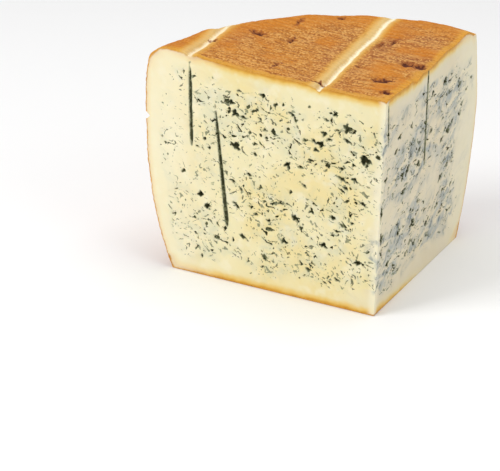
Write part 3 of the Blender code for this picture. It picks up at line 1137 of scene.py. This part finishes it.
@dataclass(frozen=True)
class CheeseMaterial:
    """The one material of the wedge, which turns from rind to paste with depth."""

    veins: VeinPattern
    relief: RindRelief
    furrows: RackFurrows
    wheel: Wheel
    corner: tuple[float, float, float]
    paste: PasteFinish = field(default_factory=PasteFinish)
    rind: RindFinish = field(default_factory=RindFinish)

    def read(self, w: Wiring, name: str, vector: bool = False) -> bpy.types.NodeSocket:
        """Reads one of the mesh's stored attributes."""
        node = w.add("ShaderNodeAttribute", attribute_type="GEOMETRY", attribute_name=name)
        return node.outputs["Vector" if vector else "Fac"]

    def paste_colour(self, w: Wiring, place: object, depth: object, veins: bpy.types.Node) -> dict:
        """Colours the paste.

        Args:
            w: The material's wiring.
            place: Undisturbed place, in metres.
            depth: Depth under the rind, in millimetres.
            veins: The vein group's node.

        Returns:
            Sockets for the colour and for how open the surface is, from 0 to 1.
        """
        paste = self.paste
        near = w.scaled(place, 1 / MM)
        clouds = w.noise(near, 34.0, 2.0)
        small = w.noise(near, 7.0, 2.0)
        colour = w.blend(w.ramp(clouds, 0.42, 0.62), paste.cream, paste.yellow)
        colour = w.blend(w.ramp(small, 0.50, 0.72, 0.0, 0.6), colour, paste.pale)
        second = self.read(w, "second")
        # painted shade: the second face's paste is greyed and cooled, as if in shade
        colour = w.blend(w.math("MULTIPLY", second, 0.8), colour, paste.painted_shade_grey)
        edge = w.math("ADD", depth, w.math("MULTIPLY", w.math("SUBTRACT", small, 0.5), 3.0))
        colour = w.blend(w.ramp(edge, 8.0, 2.0, 0.0, 0.6), colour, paste.yellow)
        colour = w.blend(w.ramp(edge, 5.6, 1.6, 0.0, 0.9), colour, paste.golden)
        colour = w.blend(w.ramp(edge, 2.7, 0.8), colour, paste.under_rind)

        gap = w.vector("MULTIPLY", w.vector("SUBTRACT", place, self.corner), (1.0, 1.0, 0.0))
        gap = w.vector("LENGTH", gap)
        gap = w.math("ADD", w.math("MULTIPLY", gap, 1 / MM), w.math("SUBTRACT", small, 0.5))
        # painted highlight: a pale strip within about 5 mm of the upright corner edge, on both cut faces
        colour = w.blend(w.ramp(gap, 5.5, 1.0, 0.0, 0.8), colour, paste.pale)
        colour = w.blend(w.ramp(gap, 90.0, 135.0, 0.0, 0.7), colour, paste.pale)

        haze = w.blend(second, paste.haze, paste.blue_haze)
        strength = w.ramp(second, 0.0, 1.0, 0.45, 0.8)
        colour = w.blend(w.math("MULTIPLY", veins.outputs["Haze"], strength), colour, haze)
        along = w.math("MULTIPLY", w.vector("DOT_PRODUCT", near, paste.streak_lean), -paste.streak_length)
        streaks = w.noise(w.vector("ADD", near, w.scaled(paste.streak_lean, along)), 3.4, 3.0)
        streaked = w.math("MULTIPLY", w.ramp(streaks, 0.50, 0.64, 0.0, 0.9), second)
        colour = w.blend(w.math("MULTIPLY", streaked, veins.outputs["Haze"]), colour, paste.streak)
        speck = w.ramp(veins.outputs["Speck"], -0.15, 0.15)
        tone = w.blend(w.ramp(w.noise(near, 9.0, 1.0), 0.42, 0.62), paste.speck, paste.dark_speck)
        colour = w.blend(w.math("MULTIPLY", speck, 0.85), colour, tone)
        hollow = w.math("MULTIPLY", self.read(w, "hollow"), 1 / MM)
        channel = w.math("MULTIPLY", self.read(w, "channel"), 1 / MM)
        inside = w.math("MAXIMUM", veins.outputs["Opening"], w.math("MAXIMUM", hollow, channel))
        rough_edge = w.math("MULTIPLY", w.math("SUBTRACT", w.noise(near, 1.3, 2.0), 0.5), 0.9)
        inside = w.math("ADD", inside, rough_edge)
        colour = w.blend(w.ramp(inside, -0.75, 0.05, 0.0, 0.7), colour, paste.speck)
        opened = w.ramp(inside, -0.10, 0.25)
        floor = w.blend(w.ramp(w.noise(near, 2.6, 2.0), 0.5, 0.66), paste.opening, paste.opening_floor)
        colour = w.blend(opened, colour, floor)
        return {"colour": colour, "opened": opened}

    def weathered(self, w: Wiring, colour: object, near: object) -> bpy.types.NodeSocket:
        """Adds dark waves, cracks and pale mould flecks to the rind of the side.

        Args:
            w: The material's wiring.
            colour: The rind's colour so far.
            near: Undisturbed place, in millimetres.

        Returns:
            The new colour.
        """
        rind = self.rind
        side = self.read(w, "side")
        around = w.scaled(self.read(w, "side_place", vector=True), 1 / MM)
        wave = w.noise(w.vector("MULTIPLY", around, (1.0, 0.3, 0.0)), 8.0, 2.0)
        colour = w.blend(w.math("MULTIPLY", w.ramp(wave, 0.50, 0.30, 0.0, 0.6), side), colour, rind.fold)
        colour = w.blend(w.math("MULTIPLY", w.ramp(wave, 0.52, 0.70, 0.0, 0.5), side), colour, rind.golden)
        line = w.noise(w.vector("MULTIPLY", around, (1.0, 0.35, 0.0)), 15.0, 3.0)
        line = w.math("ABSOLUTE", w.math("SUBTRACT", line, 0.5))
        where = w.math("MULTIPLY", w.ramp(w.noise(near, 30.0, 1.0), 0.56, 0.68), side)
        colour = w.blend(w.math("MULTIPLY", w.ramp(line, 0.011, 0.003), where), colour, rind.pit_edge)
        fleck = w.ramp(w.noise(near, 4.5, 4.0), 0.60, 0.70, 0.0, 0.6)
        where = w.ramp(w.noise(w.vector("ADD", near, (70.0, 0.0, 0.0)), 26.0, 1.0), 0.48, 0.60)
        fleck = w.math("MULTIPLY", w.math("MULTIPLY", fleck, where), side)
        return w.blend(fleck, colour, rind.furrow_shade)

    def rind_colour(self, w: Wiring, place: object, relief: bpy.types.Node) -> bpy.types.NodeSocket:
        """Colours the rind: folds dark, crests pale, furrows whitish, pits almost black.

        Args:
            w: The material's wiring.
            place: Undisturbed place, in metres.
            relief: The relief group's node.

        Returns:
            The colour.
        """
        rind = self.rind
        near = w.scaled(place, 1 / MM)
        ridge = relief.outputs["Ridge"]
        from_corner = w.vector("SUBTRACT", place, self.corner)
        colour = w.blend(w.ramp(w.noise(near, 48.0, 2.0), 0.40, 0.60), rind.base, rind.rosy)
        patches = w.noise(w.vector("ADD", near, (40.0, 3.0, 0.0)), 36.0, 3.0)
        reach = w.vector("LENGTH", w.vector("MULTIPLY", from_corner, (1.0, 1.0, 0.0)))
        smooth = w.math("MAXIMUM", w.ramp(patches, 0.46, 0.66), w.ramp(reach, 0.108, 0.134))
        colour = w.blend(w.math("MULTIPLY", smooth, 0.85), colour, rind.orange)

        cut_gap = w.math("MINIMUM", *[
            w.vector("DOT_PRODUCT", from_corner, tuple(-self.wheel.outward(face))) for face in Face
        ])
        cut_gap = w.math("ADD", w.math("MULTIPLY", cut_gap, 1 / MM),
                         w.math("MULTIPLY", w.math("SUBTRACT", w.noise(near, 9.0, 2.0), 0.5), 7.0))
        colour = w.blend(w.ramp(cut_gap, 6.0, 1.5, 0.0, 0.55), colour, rind.golden)
        rough = w.ramp(w.math("MAXIMUM", smooth, w.ramp(cut_gap, 6.0, 1.5)), 0.0, 1.0, 1.0, 0.3)
        crest = w.math("MULTIPLY", w.ramp(ridge, 0.50, 1.0, 0.0, 0.55), rough)
        colour = w.blend(crest, colour, rind.crest)
        fold = w.math("MULTIPLY", w.ramp(ridge, 0.40, 0.0, 0.0, 0.55), rough)
        colour = w.blend(fold, colour, rind.fold)
        stipple = w.noise(w.vector("MULTIPLY", near, (0.6, 0.6, 0.8)), 0.8, 1.0)
        colour = w.blend(w.math("MULTIPLY", w.ramp(stipple, 0.52, 0.68), rough), colour, rind.crest)
        low = w.math("MULTIPLY", w.ramp(stipple, 0.45, 0.32, 0.0, 0.7), rough)
        colour = w.blend(low, colour, rind.fold)

        colour = self.weathered(w, colour, near)

        waver = w.math("MULTIPLY", w.math("SUBTRACT", w.noise(near, 6.0, 2.0), 0.5), 1.6)
        frayed = w.math("MULTIPLY", w.math("SUBTRACT", w.noise(near, 1.6, 2.0), 0.5), 1.3)
        on_top = w.ramp(w.vector("DOT_PRODUCT", place, (0.0, 0.0, 1.0)), 0.118, 0.1255)
        on_top = w.math("MULTIPLY", on_top, w.ramp(self.read(w, "side"), 0.55, 0.05))
        angle = self.wheel.sector - self.furrows.lean
        across = (math.sin(angle), math.cos(angle), 0.0)
        for number, strength in ((1, 1.0), (3, 0.8)):
            start = number * self.furrows.spacing * math.sin(angle)
            side = w.math("ADD", w.vector("DOT_PRODUCT", from_corner, across), start)
            side = w.math("ADD", w.math("MULTIPLY", side, 1 / MM), waver)
            gap = w.math("ADD", w.math("ABSOLUTE", side), frayed)
            beside = w.math("ABSOLUTE", w.math("ADD", side, 1.5))
            for distance, outer, inner, share, shade in (
                (beside, 9.0, 3.0, 0.75, rind.golden), (beside, 7.0, 1.0, 0.85, rind.furrow_shade),
                (gap, 2.2, 0.1, 0.9, rind.furrow),
            ):
                share = w.math("MULTIPLY", w.ramp(distance, outer, inner, 0.0, share * strength), on_top)
                colour = w.blend(share, colour, shade)
        pit = w.math("MULTIPLY", self.read(w, "pit"), 1 / MM)
        pit = w.math("ADD", pit, w.math("MULTIPLY", w.math("SUBTRACT", w.noise(near, 1.8, 3.0), 0.5), 6.0))
        colour = w.blend(w.ramp(pit, -0.3, 0.9, 0.0, 0.8), colour, rind.pit_edge)
        return w.blend(w.ramp(pit, 0.8, 2.0), colour, rind.pit)

    def build(self) -> bpy.types.Material:
        """Builds the material.

        Returns:
            The material, whose shader reads the wedge's own attributes.
        """
        kind = "ShaderNodeTree"
        material = bpy.data.materials.new("cheese")
        material.use_nodes = True
        w = Wiring(material.node_tree)
        shader = material.node_tree.nodes["Principled BSDF"]
        place = self.read(w, "flat_place", vector=True)
        depth_metres = self.read(w, "rind_depth")
        depth = w.math("MULTIPLY", depth_metres, 1 / MM)
        veins = w.add("ShaderNodeGroup", node_tree=self.veins.group(kind))
        w.put(veins.inputs["Place"], place)
        w.put(veins.inputs["Rind Depth"], depth_metres)
        w.put(veins.inputs["Mould"], self.read(w, "mould"))
        relief = w.add("ShaderNodeGroup", node_tree=self.relief.group(kind))
        w.put(relief.inputs["Place"], place)
        w.put(relief.inputs["Side Place"], self.read(w, "side_place", vector=True))
        w.put(relief.inputs["Side"], self.read(w, "side"))

        paste = self.paste_colour(w, place, depth, veins)
        rind = self.rind_colour(w, place, relief)
        near = w.scaled(place, 1 / MM)
        skin = w.math("ADD", depth, w.math("MULTIPLY", w.math("SUBTRACT", w.noise(near, 3.0), 0.5), 1.2))
        in_paste = w.ramp(skin, 0.25, 1.3)
        w.put(shader.inputs["Base Color"], w.blend(in_paste, rind, paste["colour"]))

        gloss = w.ramp(w.noise(near, 12.0, 2.0), 0.35, 0.65, self.paste.roughness,
                       self.paste.roughness + self.paste.rough_patches)
        gloss = w.math("ADD", gloss, w.math("MULTIPLY", paste["opened"], 0.25))
        rough = w.add("ShaderNodeMix", data_type="FLOAT")
        sockets = rough.inputs[:1] + rough.inputs[2:4]
        for socket, value in zip(sockets, (in_paste, self.rind.roughness, gloss)):
            w.put(socket, value)
        w.put(shader.inputs["Roughness"], rough.outputs[0])

        grain = w.math("MULTIPLY", w.noise(near, 2.2, 3.0), w.math("SUBTRACT", 1.0, in_paste))
        smear = w.math("MULTIPLY", w.noise(near, 6.0, 1.0), 0.35)
        bump = w.add("ShaderNodeBump", {
            "Height": w.math("ADD", grain, smear), "Strength": 0.55, "Distance": 0.5 * MM,
        })
        w.put(shader.inputs["Normal"], bump.outputs["Normal"])
        shader.inputs["Subsurface Weight"].default_value = 0.12
        shader.inputs["Subsurface Radius"].default_value = (1.0, 0.7, 0.35)
        shader.inputs["Subsurface Scale"].default_value = 2.0 * MM
        shader.inputs["Specular IOR Level"].default_value = 0.25
        return material


# ---------------------------------------------------------------------------------------------
# Studio
# ---------------------------------------------------------------------------------------------


@dataclass(frozen=True)
class Lamp:
    """A square soft lamp."""

    name: str
    place: tuple[float, float, float]
    side: float
    watts: float


@dataclass(frozen=True)
class Studio:
    """Pale floor, soft white lamps and the camera."""

    aim: tuple[float, float, float] = (-4.95 * MM, -74.1 * MM, 31.7 * MM)
    azimuth: float = math.radians(26.6)
    elevation: float = math.radians(23.3)
    roll: float = math.radians(1.87)
    distance: float = 1.1486
    lens: float = 144.0
    floor_colour: Colour = (0.93, 0.93, 0.93, 1.0)
    sky_strength: float = 0.48
    lamps: tuple[Lamp, ...] = (
        Lamp("key", (-0.75, -1.05, 1.15), 0.7, 13.5),
        Lamp("top", (0.1, 0.25, 1.3), 0.9, 6.0),
        Lamp("fill", (1.2, -0.3, 0.7), 0.9, 3.0),
    )

    def add_floor(self) -> None:
        """Lays a wide pale floor under the wedge."""
        half = 3.0
        mesh = bpy.data.meshes.new("floor")
        corners = [(-half, -half, 0), (half, -half, 0), (half, half, 0), (-half, half, 0)]
        mesh.from_pydata(corners, [], [(0, 1, 2, 3)])
        floor = bpy.data.objects.new("floor", mesh)
        floor.location.z = -0.2 * MM
        bpy.context.scene.collection.objects.link(floor)
        material = bpy.data.materials.new("floor")
        material.use_nodes = True
        shader = material.node_tree.nodes["Principled BSDF"]
        shader.inputs["Base Color"].default_value = self.floor_colour
        shader.inputs["Roughness"].default_value = 0.8
        mesh.materials.append(material)

    def add_lamps(self) -> None:
        """Hangs the lamps, all turned to the wedge, and sets the sky."""
        target = Vector((0, 0, 0.06))
        for lamp in self.lamps:
            light = bpy.data.lights.new(lamp.name, "AREA")
            light.size = lamp.side
            light.energy = lamp.watts
            made = bpy.data.objects.new(lamp.name, light)
            made.location = lamp.place
            made.rotation_euler = (target - Vector(lamp.place)).to_track_quat("-Z", "Y").to_euler()
            bpy.context.scene.collection.objects.link(made)
        world = bpy.data.worlds.new("sky")
        world.use_nodes = True
        world.node_tree.nodes["Background"].inputs["Color"].default_value = (1, 1, 1, 1)
        world.node_tree.nodes["Background"].inputs["Strength"].default_value = self.sky_strength
        bpy.context.scene.world = world

    def add_camera(self) -> None:
        """Sets up the camera, with its small roll."""
        a, e, r = self.azimuth, self.elevation, self.roll
        back = Vector((math.sin(a) * math.cos(e), -math.cos(a) * math.cos(e), math.sin(e)))
        right = Vector((math.cos(a), math.sin(a), 0.0))
        up = back.cross(right)
        rolled_right = math.cos(r) * right + math.sin(r) * up
        rolled_up = -math.sin(r) * right + math.cos(r) * up
        data = bpy.data.cameras.new("camera")
        data.lens = self.lens
        data.clip_end = 20.0
        camera = bpy.data.objects.new("camera", data)
        place = Vector(self.aim) + self.distance * back
        turn = Matrix((rolled_right, rolled_up, back)).transposed().to_4x4()
        camera.matrix_world = Matrix.Translation(place) @ turn
        bpy.context.scene.collection.objects.link(camera)
        bpy.context.scene.camera = camera

    def build(self) -> None:
        """Sets up floor, lamps, camera and view."""
        self.add_floor()
        self.add_lamps()
        self.add_camera()
        bpy.context.scene.view_settings.view_transform = "Standard"


def main() -> None:
    """Builds everything."""
    logging.basicConfig(level=logging.INFO, format="%(name)s: %(message)s")
    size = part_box(NODE)
    width = size[1][0] - size[0][0]
    wheel = Wheel(radius=width - LONG_END_GAIN, height=0.128)
    veins, relief, furrows = VeinPattern(), RindRelief(), RackFurrows()
    body = WedgeBody(wheel, furrows, CutMarks(), CarveTree(veins, relief))
    material = CheeseMaterial(veins, relief, furrows, wheel, tuple(body.corner())).build()
    body.build(material)
    Studio().build()


if __name__ == "__main__":
    main()
